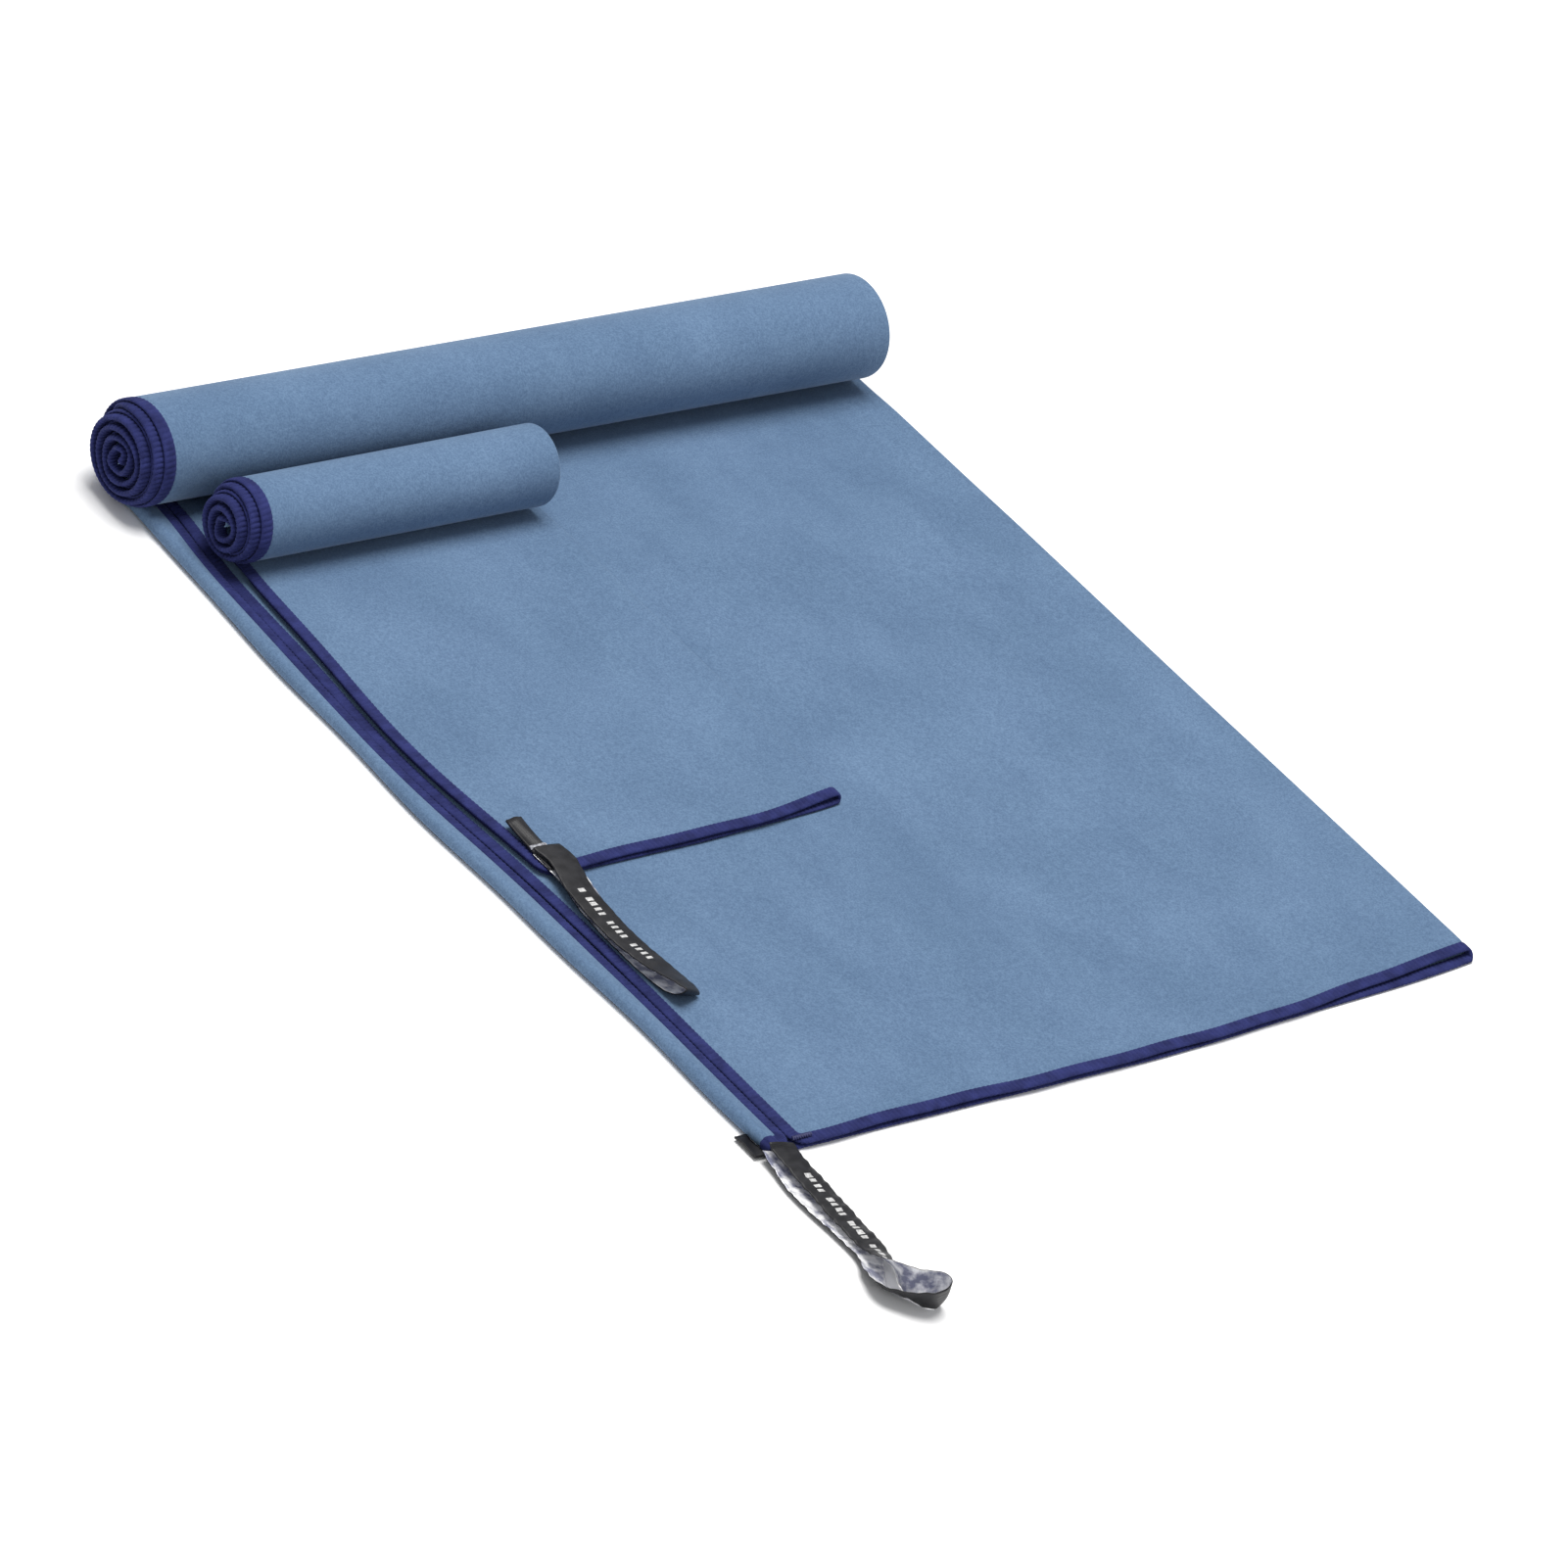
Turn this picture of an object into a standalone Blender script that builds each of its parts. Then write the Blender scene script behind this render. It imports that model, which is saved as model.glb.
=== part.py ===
"""Quick-dry microfibre towel set: a large towel and a small towel, both folded once
lengthwise and rolled up from the far end, each with an overlocked edge and a hang loop.

Frame: metres, +Z up. The large towel's flat underside is z = 0, with the origin in the
middle of its flat run. X runs across the strip, from the open hems (-X) to the fold (+X).
Y runs along the strip, from the near end (-Y) to the roll (+Y).
"""
import math

import bmesh
import bpy

# ---------------------------------------------------------------- driving dimensions
CLEARANCE = 0.0003          # gap between pieces that touch
PLY = 0.0013                # thickness of one ply of napped microfibre
HEM_THICKNESS = 0.0017      # overlock threads wrapped round one ply
HEM_WIDTH = 0.0058          # how far the overlock reaches in from a cut edge
PLY_PITCH = HEM_THICKNESS + CLEARANCE       # height from one ply's underside to the next
STEPS_PER_TURN = 16         # facets in one turn of a roll
CORE_RADIUS = 0.0056        # outside radius of a roll's last turn
BOW_POWER = 1.5             # how late the near end starts to sweep back
DRIFT_TURNS = 1.5           # turns over which a strip creeps sideways

# large towel
LARGE_X_HEM = -0.195        # cut edge of the top ply
LARGE_X_FOLD = 0.195        # outside of the lengthwise fold
LARGE_Y_NEAR = -0.233       # near end of the flat run
LARGE_Y_ROLL = 0.2275       # axis of the roll, at the fold
LARGE_SKEW = 0.0145         # how much further back that axis lies at the hems
LARGE_ROLL_RADIUS = 0.0254
LARGE_TURNS = (LARGE_ROLL_RADIUS - CORE_RADIUS) / (2.0 * PLY_PITCH)
LARGE_BOW = 0.015           # how far the near end sweeps back at the fold
LARGE_MARGIN = 0.013        # how far the lower ply stands out past the upper one
LARGE_DRIFT = 0.004         # sideways creep of the strip as it winds up

# small towel, lying on the large one
SMALL_X_HEM = LARGE_X_HEM + 0.008
SMALL_X_FOLD = SMALL_X_HEM + 0.165
SMALL_ROLL_RADIUS = 0.0205
SMALL_SKEW = 0.004
ROLL_GAP = 0.0062           # room between the two rolls
LARGE_SLANT = LARGE_SKEW / (LARGE_X_FOLD - LARGE_X_HEM)
SMALL_Y_ROLL = (LARGE_Y_ROLL + LARGE_SLANT * (LARGE_X_FOLD - SMALL_X_FOLD)
                - LARGE_ROLL_RADIUS - ROLL_GAP - SMALL_ROLL_RADIUS)
SMALL_Y_NEAR = SMALL_Y_ROLL - 0.231
SMALL_TURNS = (SMALL_ROLL_RADIUS - CORE_RADIUS) / (2.0 * PLY_PITCH)
SMALL_BOW = 0.006
SMALL_MARGIN = 0.0
SMALL_DRIFT = 0.009

# lower ply's margin, curled up along the open side of the large towel
CURL_RADIUS = 0.0046        # outside radius of the curl
CURL_X = LARGE_X_HEM - 0.0154           # outermost reach of the curl
CURL_CLOTH_TURN = 150.0     # degrees of cloth round the curl, before the hem
LEAST_CURL = 0.001          # a curl this small counts as flat
MARGIN_GAP = 0.0006         # room between the lower ply's margin and its hem
CURL_FADE = (0.030, 0.046)  # distances from the roll's axis where the curl is flat and full

# hang loops, one on each towel
RIBBON_WIDTH = 0.0145
RIBBON_THICKNESS = 0.0007
LARGE_LOOP_LENGTH = 0.106
LARGE_LOOP_SPREAD = 0.0150  # widest distance between the two legs
LARGE_LOOP_X = CURL_X + 0.0069
LARGE_TWIST = (0.012, 0.035)    # run over which the ribbon turns fully onto its edge
SMALL_LOOP_LENGTH = 0.092
SMALL_LOOP_SPREAD = 0.0090
SMALL_LOOP_X = SMALL_X_HEM + 0.001
LEG_OPENING = 0.8           # share of the legs' length over which they spread apart
ROOT_SPREAD = 0.0018        # distance between the legs where they are sewn in
LARGE_TAIL = 0.0065         # cut ribbon ends that show beside the curled margin
SMALL_TAIL = 0.027          # cut ribbon ends behind the small towel's near hem
SMALL_TACK_INSET = 0.0135   # from the near end to the bar tack across them
TAIL_TUCK = 0.0006          # how far they reach in under the curled margin
BARTACK_LENGTH = 0.0100
BARTACK_WIDTH = 0.0022
BARTACK_HEIGHT = 0.0009

# colours, roughness
TOWEL_BLUE = (0.125, 0.235, 0.375, 1.0)
HEM_NAVY = (0.022, 0.030, 0.130, 1.0)
RIBBON_BLACK = (0.012, 0.012, 0.014, 1.0)
THREAD_GREY = (0.30, 0.31, 0.34, 1.0)


# ---------------------------------------------------------------- scene and materials
def clear_scene():
    for old in list(bpy.data.objects):
        bpy.data.objects.remove(old, do_unlink=True)


def make_material(name, colour, roughness):
    material = bpy.data.materials.new(name)
    material.use_nodes = True
    shader = material.node_tree.nodes["Principled BSDF"]
    shader.inputs["Base Color"].default_value = colour
    shader.inputs["Roughness"].default_value = roughness
    shader.inputs["Metallic"].default_value = 0.0
    return material


def set_parent(obj, location, parent):
    """Put an object at a world point, under a parent that is only moved, never turned."""
    obj.parent = parent
    offset = [0.0, 0.0, 0.0]
    while parent is not None:
        offset = [offset[i] + parent.location[i] for i in range(3)]
        parent = parent.parent
    obj.location = [location[i] - offset[i] for i in range(3)]


def add_object(name, mesh_data, material, parent, origin=(0.0, 0.0, 0.0)):
    """Make a mesh object whose own origin sits at the given world point."""
    vertices, faces = mesh_data
    local = [tuple(v[i] - origin[i] for i in range(3)) for v in vertices]
    mesh = bpy.data.meshes.new(name)
    mesh.from_pydata(local, [], faces)
    bm = bmesh.new()
    bm.from_mesh(mesh)
    bmesh.ops.recalc_face_normals(bm, faces=bm.faces)
    bm.to_mesh(mesh)
    bm.free()
    mesh.materials.append(material)
    mesh.shade_smooth()
    mesh.set_sharp_from_angle(angle=math.radians(40.0))
    obj = bpy.data.objects.new(name, mesh)
    bpy.context.scene.collection.objects.link(obj)
    set_parent(obj, origin, parent)


def add_empty(name, location, parent=None):
    empty = bpy.data.objects.new(name, None)
    empty.empty_display_size = 0.02
    bpy.context.scene.collection.objects.link(empty)
    set_parent(empty, location, parent)
    return empty


# ---------------------------------------------------------------- thick sheets
def thicken(path, thickness):
    """Offset a 2-D centre line to both sides; returns its right-hand and left-hand lines."""
    right, left = [], []
    last = len(path) - 1
    for i, point in enumerate(path):
        before = path[max(i - 1, 0)]
        after = path[min(i + 1, last)]
        run = (after[0] - before[0], after[1] - before[1])
        length = math.hypot(*run)
        normal = (run[1] / length, -run[0] / length)
        half = 0.5 * thickness
        right.append((point[0] + normal[0] * half, point[1] + normal[1] * half))
        left.append((point[0] - normal[0] * half, point[1] - normal[1] * half))
    return right, left


def loft(stations):
    """Closed solid through stations, each a pair of equally long lines of 3-D points."""
    count = len(stations[0][0])
    vertices, faces = [], []
    for first, second in stations:
        vertices.extend(first)
        vertices.extend(second)
    step = 2 * count
    for k in range(len(stations) - 1):
        a, b = k * step, (k + 1) * step
        for i in range(count - 1):
            faces.append((a + i, a + i + 1, b + i + 1, b + i))
            faces.append((a + count + i, b + count + i, b + count + i + 1, a + count + i + 1))
        faces.append((a, b, b + count, a + count))
        end = count - 1
        faces.append((a + end, a + count + end, b + count + end, b + end))
    last = (len(stations) - 1) * step
    for i in range(count - 1):
        faces.append((i, count + i, count + i + 1, i + 1))
        faces.append((last + i, last + i + 1, last + count + i + 1, last + count + i))
    return vertices, faces


def blend(a, b, share):
    return a + (b - a) * share


def smooth_step(value):
    value = min(max(value, 0.0), 1.0)
    return value * value * (3.0 - 2.0 * value)


def spread(start, end, count):
    return [blend(start, end, i / (count - 1)) for i in range(count)]


# ---------------------------------------------------------------- one folded, rolled towel
class Towel:
    """A strip of two plies, flat from its near end to the roll and then wound in a spiral.

    Places on it are (x, run, height): x across, run along the strip from the roll's lowest
    line (negative on the flat, an angle in radians in the roll), height above its underside.
    """

    def __init__(self, prefix, base, x_hem, x_fold, y_near, y_roll, skew, radius, turns, bow,
                 margin, drift, curled):
        self.prefix = prefix
        self.base = base
        self.x_hem = x_hem
        self.x_fold = x_fold
        self.y_near = y_near
        self.y_roll = y_roll
        self.skew = skew
        self.radius = radius
        self.turns = turns
        self.bow = bow
        self.margin = margin
        self.drift = drift
        self.curled = curled
        self.pitch = 2.0 * PLY_PITCH

    # ---- places
    def near_line(self, x):
        """Y of the near end, which sweeps back towards the fold."""
        middle = 0.5 * (self.x_hem + self.x_fold)
        share = max(0.0, (x - middle) / (self.x_fold - middle))
        return self.y_near + self.bow * share ** BOW_POWER

    def roll_line(self, x):
        """Y of the roll's axis, which lies further back towards the hems."""
        return self.y_roll + self.skew * (self.x_fold - x) / (self.x_fold - self.x_hem)

    def flat_point(self, x, inset, share, height):
        """Share 0 is the near end plus the inset, share 1 the roll's lowest line."""
        start = self.near_line(x) + inset
        y = blend(start, self.roll_line(x) - 0.5 * CLEARANCE, share)
        return (x, y, self.base + height)

    def wound_point(self, x, angle, height):
        turn = angle / (2.0 * math.pi)
        radius = self.radius - self.pitch * turn - height
        shift = self.drift * smooth_step(turn / DRIFT_TURNS)
        lead = 0.5 * CLEARANCE if angle == 0.0 else 0.0
        y = self.roll_line(x) + radius * math.sin(angle) + lead
        z = self.base + self.radius - radius * math.cos(angle)
        return (x - shift, y, z)

    # ---- sections across the strip, as centre lines in (x, height)
    def fold_section(self, thickness, curl):
        """Lower ply from its margin to the fold, round it, and back along the upper ply."""
        low = 0.5 * thickness
        high = PLY_PITCH + low
        bend = 0.5 * PLY_PITCH
        x_bend = self.x_fold - bend - low
        edge_gap = HEM_WIDTH + CLEARANCE
        line = self.margin_line(thickness, curl, hem=False)
        line += [(x, low) for x in spread(line[-1][0], x_bend, 5)[1:]]
        for step in range(1, 4):
            angle = math.pi * step / 4.0
            line.append((x_bend + bend * math.sin(angle), low + bend - bend * math.cos(angle)))
        line += [(x, high) for x in spread(x_bend, self.x_hem + edge_gap, 5)]
        return line

    def margin_line(self, thickness, curl, hem):
        """Cloth or hem of the lower ply's margin, from its outer end inwards.

        Curl 1 rolls it up over itself and curl 0 lays it flat, at the same length.
        """
        hem_turn = HEM_WIDTH / CURL_RADIUS
        cloth_turn = math.radians(CURL_CLOTH_TURN)
        hem_start = cloth_turn + MARGIN_GAP / CURL_RADIUS
        x_flat = self.x_hem - self.margin + CURL_RADIUS * (hem_start + hem_turn)
        x_start = blend(x_flat, CURL_X + CURL_RADIUS, curl)
        turns = spread(hem_start + hem_turn, hem_start, 5) if hem else spread(cloth_turn, 0.0, 7)
        line = []
        for turn in turns:
            bent = max(curl, LEAST_CURL)
            radius = CURL_RADIUS / bent - 0.5 * thickness
            line.append((x_start - radius * math.sin(bent * turn),
                         CURL_RADIUS / bent - radius * math.cos(bent * turn)))
        return line

    def curl_at(self, share):
        if not self.curled:
            return 0.0
        distance = (1.0 - share) * (self.y_roll - self.y_near)
        return smooth_step((distance - CURL_FADE[0]) / (CURL_FADE[1] - CURL_FADE[0]))

    def flat_shares(self):
        length = self.y_roll - self.y_near
        fade = [1.0 - d / length for d in spread(CURL_FADE[1], CURL_FADE[0], 4)]
        return spread(0.0, fade[0], 4)[:-1] + fade + [1.0]

    # ---- solids
    def flat_solid(self, section, thickness, inset):
        """Loft a section along the flat run; section(curl) gives its centre line."""
        stations = []
        for share in self.flat_shares():
            lines = thicken(section(self.curl_at(share)), thickness)
            stations.append([[self.flat_point(x, inset, share, h) for x, h in line]
                             for line in lines])
        return loft(stations)

    def wound_solid(self, section, thickness, first=0.0, last=None):
        """Loft a section round the spiral, from the first to the last turn."""
        last = self.turns if last is None else last
        steps = max(2, round((last - first) * STEPS_PER_TURN))
        lines = thicken(section, thickness)
        stations = []
        for turn in spread(first, last, steps + 1):
            angle = 2.0 * math.pi * turn
            stations.append([[self.wound_point(x, angle, h) for x, h in line]
                             for line in lines])
        return loft(stations)

    def band_solid(self, section, thickness):
        """Hem across the near end, one overlock wide."""
        lines = thicken(section, thickness)
        stations = []
        for inset in (0.0, HEM_WIDTH):
            stations.append([[(x, self.near_line(x) + inset, self.base + h) for x, h in line]
                             for line in lines])
        return loft(stations)

    def upper_hem_line(self):
        height = PLY_PITCH + 0.5 * HEM_THICKNESS
        return [(x, height) for x in (self.x_hem + HEM_WIDTH, self.x_hem)]

    def end_section(self, curl):
        """Centre line of an overlock across a cut end: margin, lower ply, fold, upper ply."""
        hem = self.margin_line(HEM_THICKNESS, curl, hem=True)
        cloth = self.fold_section(HEM_THICKNESS, curl)
        return hem[:-1] + cloth + [(self.x_hem, cloth[-1][1])]

    def build(self, materials, parent):
        inset = HEM_WIDTH + CLEARANCE
        hem_line = self.upper_hem_line()
        wound_cloth = self.fold_section(PLY, 0.0)
        hem_turns = HEM_WIDTH / (2.0 * math.pi * (self.radius - self.pitch * self.turns))
        gap_turns = hem_turns * CLEARANCE / HEM_WIDTH
        pieces = {
            "cloth_flat": self.flat_solid(lambda c: self.fold_section(PLY, c), PLY, inset),
            "cloth_roll": self.wound_solid(wound_cloth, PLY),
            "hem_upper_side_flat": self.flat_solid(lambda c: hem_line, HEM_THICKNESS, inset),
            "hem_lower_side_flat": self.flat_solid(
                lambda c: self.margin_line(HEM_THICKNESS, c, hem=True), HEM_THICKNESS, inset),
            "hem_upper_side_roll": self.wound_solid(hem_line, HEM_THICKNESS),
            "hem_lower_side_roll": self.wound_solid(
                self.margin_line(HEM_THICKNESS, 0.0, hem=True), HEM_THICKNESS),
            "hem_near_end": self.band_solid(
                self.end_section(1.0 if self.curled else 0.0), HEM_THICKNESS),
            "hem_far_end": self.wound_solid(
                self.end_section(0.0), HEM_THICKNESS, self.turns + gap_turns,
                self.turns + gap_turns + hem_turns),
        }
        for name, data in pieces.items():
            cloth = name.startswith("cloth")
            add_object(f"{self.prefix}_{name}", data, materials["cloth" if cloth else "hem"],
                       parent)


# ---------------------------------------------------------------- hang loops
def loop_line(length, spread_width, steps=13):
    """Teardrop centre line of a ribbon loop: (distance out, sideways), root to root."""
    tip = 0.5 * spread_width
    straight = length - tip
    half_root = 0.5 * ROOT_SPREAD
    line = []
    for share in spread(0.0, 1.0, steps):
        line.append((straight * share, blend(half_root, tip, smooth_step(share / LEG_OPENING))))
    for step in range(1, 6):
        angle = math.radians(30.0 * step)
        line.append((straight + tip * math.sin(angle), tip * math.cos(angle)))
    line += [(out, -side) for out, side in reversed(line[:steps])]
    return line


def box_data(low, high):
    xs, ys, zs = zip(low, high)
    vertices = [(x, y, z) for x in xs for y in ys for z in zs]
    faces = [(0, 1, 3, 2), (4, 6, 7, 5), (0, 4, 5, 1), (2, 3, 7, 6), (0, 2, 6, 4), (1, 5, 7, 3)]
    return vertices, faces


def build_large_loop(materials, towel, parent):
    """The loop lies on the floor, flat where it is sewn in and on its edge further out."""
    y_root = towel.y_near - CLEARANCE
    line = loop_line(LARGE_LOOP_LENGTH, LARGE_LOOP_SPREAD)
    centre = [(LARGE_LOOP_X + side, y_root - out) for out, side in line]
    sides = thicken(centre, RIBBON_THICKNESS)
    root_top = towel.base + 2.0 * CURL_RADIUS + CLEARANCE
    twist = [smooth_step((out - LARGE_TWIST[0]) / (LARGE_TWIST[1] - LARGE_TWIST[0]))
             for out, side in line]
    tops = [blend(root_top, towel.base + RIBBON_WIDTH, share) for share in twist]
    low = [[(x, y, towel.base) for x, y in row] for row in sides]
    high = [[(x, y, z) for (x, y), z in zip(row, tops)] for row in sides]
    pivot = (LARGE_LOOP_X, y_root, root_top)
    hinge = add_empty("large_loop_hinge", pivot, parent)
    add_object("large_loop_ribbon", loft([low, high]), materials["ribbon"], hinge, pivot)


def build_small_loop(materials, towel, parent):
    """The loop lies across the large towel's side hem, one leg above the other."""
    y_root = towel.y_near - CLEARANCE
    line = loop_line(SMALL_LOOP_LENGTH, SMALL_LOOP_SPREAD)
    z_rest = PLY_PITCH + HEM_THICKNESS + CLEARANCE
    z_middle = z_rest + 0.5 * (SMALL_LOOP_SPREAD + RIBBON_THICKNESS)
    sides = thicken([(y_root - out, z_middle + side) for out, side in line],
                    RIBBON_THICKNESS)
    half = 0.5 * RIBBON_WIDTH
    stations = [[[(SMALL_LOOP_X + x, y, z) for y, z in row] for row in sides]
                for x in (-half, half)]
    pivot = (SMALL_LOOP_X, y_root, z_middle + 0.5 * ROOT_SPREAD + RIBBON_THICKNESS)
    hinge = add_empty("small_loop_hinge", pivot, parent)
    add_object("small_loop_ribbon", loft(stations), materials["ribbon"], hinge, pivot)


def build_large_root(materials, towel, parent):
    """Cut ribbon ends that lie beside the curled margin, and the bar tack on the corner."""
    x_inner = CURL_X + TAIL_TUCK
    low = towel.base + CLEARANCE
    tail = box_data((x_inner - LARGE_TAIL, towel.y_near, low),
                    (x_inner, towel.y_near + RIBBON_WIDTH, low + 2.0 * RIBBON_THICKNESS))
    add_object("large_loop_tail", tail, materials["ribbon"], parent)
    tack_low = towel.base + PLY_PITCH + HEM_THICKNESS + CLEARANCE
    tack_y = towel.y_near + 0.5 * (HEM_WIDTH - BARTACK_WIDTH)
    tack = box_data((towel.x_hem, tack_y, tack_low),
                    (towel.x_hem + BARTACK_LENGTH, tack_y + BARTACK_WIDTH,
                     tack_low + BARTACK_HEIGHT))
    add_object("large_bar_tack", tack, materials["thread"], parent)


def build_small_root(materials, towel, parent):
    """Cut ribbon ends on top of the near corner, and the bar tack across them."""
    low = towel.base + PLY_PITCH + HEM_THICKNESS + CLEARANCE
    high = low + 2.0 * RIBBON_THICKNESS
    x_low = towel.x_hem
    x_high = SMALL_LOOP_X + 0.5 * RIBBON_WIDTH
    tail = box_data((x_low, towel.y_near + CLEARANCE, low),
                    (x_high, towel.y_near + HEM_WIDTH + SMALL_TAIL, high))
    add_object("small_loop_tail", tail, materials["ribbon"], parent)
    tack_y = towel.y_near + SMALL_TACK_INSET
    tack_low = high + CLEARANCE
    tack = box_data((x_low, tack_y, tack_low),
                    (x_high, tack_y + BARTACK_WIDTH, tack_low + BARTACK_HEIGHT))
    add_object("small_bar_tack", tack, materials["thread"], parent)


# ---------------------------------------------------------------- assembly
def main():
    clear_scene()
    materials = {
        "cloth": make_material("microfibre", TOWEL_BLUE, 0.95),
        "hem": make_material("overlock_thread", HEM_NAVY, 0.8),
        "ribbon": make_material("ribbon", RIBBON_BLACK, 0.45),
        "thread": make_material("tack_thread", THREAD_GREY, 0.7),
    }
    large = Towel("large", 0.0, LARGE_X_HEM, LARGE_X_FOLD, LARGE_Y_NEAR, LARGE_Y_ROLL,
                  LARGE_SKEW, LARGE_ROLL_RADIUS, LARGE_TURNS, LARGE_BOW, LARGE_MARGIN,
                  LARGE_DRIFT, True)
    rest = PLY_PITCH + PLY + CLEARANCE
    small = Towel("small", rest, SMALL_X_HEM, SMALL_X_FOLD, SMALL_Y_NEAR, SMALL_Y_ROLL,
                  SMALL_SKEW, SMALL_ROLL_RADIUS, SMALL_TURNS, SMALL_BOW, SMALL_MARGIN,
                  SMALL_DRIFT, False)
    large_root = add_empty("large_towel", (0.0, 0.0, 0.0))
    small_root = add_empty("small_towel", (0.0, 0.0, rest), large_root)
    large.build(materials, large_root)
    small.build(materials, small_root)
    build_large_root(materials, large, large_root)
    build_small_root(materials, small, small_root)
    build_large_loop(materials, large, large_root)
    build_small_loop(materials, small, small_root)


main()
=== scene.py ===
"""Looks of the quick-dry towel set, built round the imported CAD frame.

Each towel is one sheet of suede microfibre, folded once lengthwise and rolled up, with a ridged
overlock swept round all four edges. Each hang loop is one printed ribbon, black outside and
silvery inside, with its cut ends and its bar tack.
"""
import math

import bpy
import numpy as np
from mathutils import Matrix, Vector


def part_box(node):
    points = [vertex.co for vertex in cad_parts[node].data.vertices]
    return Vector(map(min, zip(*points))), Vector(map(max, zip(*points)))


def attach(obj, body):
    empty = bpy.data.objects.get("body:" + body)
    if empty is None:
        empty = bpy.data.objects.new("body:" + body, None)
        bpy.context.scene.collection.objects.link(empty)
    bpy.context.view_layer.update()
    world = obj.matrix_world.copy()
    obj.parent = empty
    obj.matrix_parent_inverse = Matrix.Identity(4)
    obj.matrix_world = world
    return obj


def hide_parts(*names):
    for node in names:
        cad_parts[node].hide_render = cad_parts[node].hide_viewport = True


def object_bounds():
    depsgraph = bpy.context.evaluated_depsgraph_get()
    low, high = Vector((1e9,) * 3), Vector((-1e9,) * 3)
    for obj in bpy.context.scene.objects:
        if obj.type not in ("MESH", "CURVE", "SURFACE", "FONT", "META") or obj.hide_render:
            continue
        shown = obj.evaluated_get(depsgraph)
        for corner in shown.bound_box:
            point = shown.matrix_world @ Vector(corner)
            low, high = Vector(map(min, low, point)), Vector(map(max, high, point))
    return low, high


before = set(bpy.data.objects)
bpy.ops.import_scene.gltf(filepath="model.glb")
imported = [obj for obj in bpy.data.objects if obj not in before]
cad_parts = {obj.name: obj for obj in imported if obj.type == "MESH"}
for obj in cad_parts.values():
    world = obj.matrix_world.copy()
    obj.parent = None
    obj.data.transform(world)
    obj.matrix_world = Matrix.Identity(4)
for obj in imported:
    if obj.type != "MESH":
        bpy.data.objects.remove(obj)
cad_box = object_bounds()

# ------------------------------------------------------------------ shared dimensions, metres
PLY = 0.0013                # thickness of one ply of cloth
HEM = 0.0017                # thickness of the overlock
HEM_WIDTH = 0.0058
PLY_PITCH = 0.0020          # from one ply's middle to the next
MID = 0.5 * HEM             # height of a ply's middle above what it lies on
STITCH = 0.0024             # distance between overlock ridges
STITCH_STEPS = 6            # mesh steps in one ridge
CORNER = 0.0075             # radius of a towel's corners
FOLD_RADIUS = 0.0026        # bend of the margin that is folded back over itself
FOLD_ANGLE = 3.38           # radians that it turns through, a little past flat
FOLD_BACK = 0.0104          # straight cloth past the bend, hem included
MARGIN = FOLD_RADIUS * FOLD_ANGLE + FOLD_BACK
HEM_GAP = 0.0014            # room between the folded margin's edge and the upper ply's
RING_STEP = 0.0042          # how far the upper ply stands out past the lower one in a roll
CLOTH_INSET = 0.0006        # how far the cloth's edge stays inside the overlock's
EDGE_THINNING = 0.00045     # how much each face of the cloth is pressed down at the overlock
FOLD_PUFF = 0.0006          # extra bend radius of a fold that nothing presses on
RIDGE_SLANT = 0.30          # how far a ridge leans along the edge, in stitches
RIDGE_LOW = 0.34            # share of the overlock's height between two ridges
RIDGE_RISE = 0.72           # share of it that a ridge adds
ROLL_PUFF = 0.45            # how much higher the upper ply's overlock stands in a roll
LARGE_BOW = 0.015           # how far the large towel's near end sweeps back at the fold
PLY_LAG = 0.0042            # how far its lower ply shows past the upper one there
UNEVENNESS = 0.0007         # most height of the soft waves in the flat run
RIBBON = 0.0145             # width of the hang loops
RIBBON_THICKNESS = 0.0005
RIBBON_CUP = 0.0005         # how far a ribbon's middle stands out from its edges
MARK_PITCH = 0.0032         # from one printed block to the next
MARK_FILL = 0.62            # share of that which a block covers
MARK_GROUP = 5.0            # places in a group of blocks, the first one left blank
MARK_STEPS = np.arange(6, 10)           # mesh steps across the ribbon that a block covers
TACK_THREAD = 0.00042       # radius of a bar tack's thread
TACK_ARCH = 0.0005          # how far each of its stitches rises
FLOOR_GAP = 0.0002          # how far the floor lies below the lowest piece


def smooth(value):
    value = np.clip(value, 0.0, 1.0)
    return value * value * (3.0 - 2.0 * value)


def bump(value):
    return np.exp(-value * value)


# ------------------------------------------------------------------ mesh helpers
def make_mesh(name, points, faces, materials, indices=None):
    """Mesh object from an (n, 3) array and a list of quads."""
    mesh = bpy.data.meshes.new(name)
    faces = np.asarray(faces, np.int32)
    mesh.vertices.add(len(points))
    mesh.vertices.foreach_set("co", np.asarray(points, np.float32).ravel())
    mesh.loops.add(faces.size)
    mesh.loops.foreach_set("vertex_index", faces.ravel())
    mesh.polygons.add(len(faces))
    mesh.polygons.foreach_set("loop_start", np.arange(0, faces.size, 4, dtype=np.int32))
    for material in materials:
        mesh.materials.append(material)
    if indices is not None:
        mesh.polygons.foreach_set("material_index", np.asarray(indices, np.int32))
    mesh.update(calc_edges=True)
    mesh.validate()
    mesh.shade_smooth()
    obj = bpy.data.objects.new(name, mesh)
    bpy.context.scene.collection.objects.link(obj)
    return obj


def grid_faces(rows, columns, start=0, flip=False):
    i, j = np.meshgrid(np.arange(rows - 1), np.arange(columns - 1), indexing="ij")
    a = (start + i * columns + j).ravel()
    quads = np.stack([a, a + 1, a + columns + 1, a + columns], 1)
    return quads[:, ::-1] if flip else quads


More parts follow.
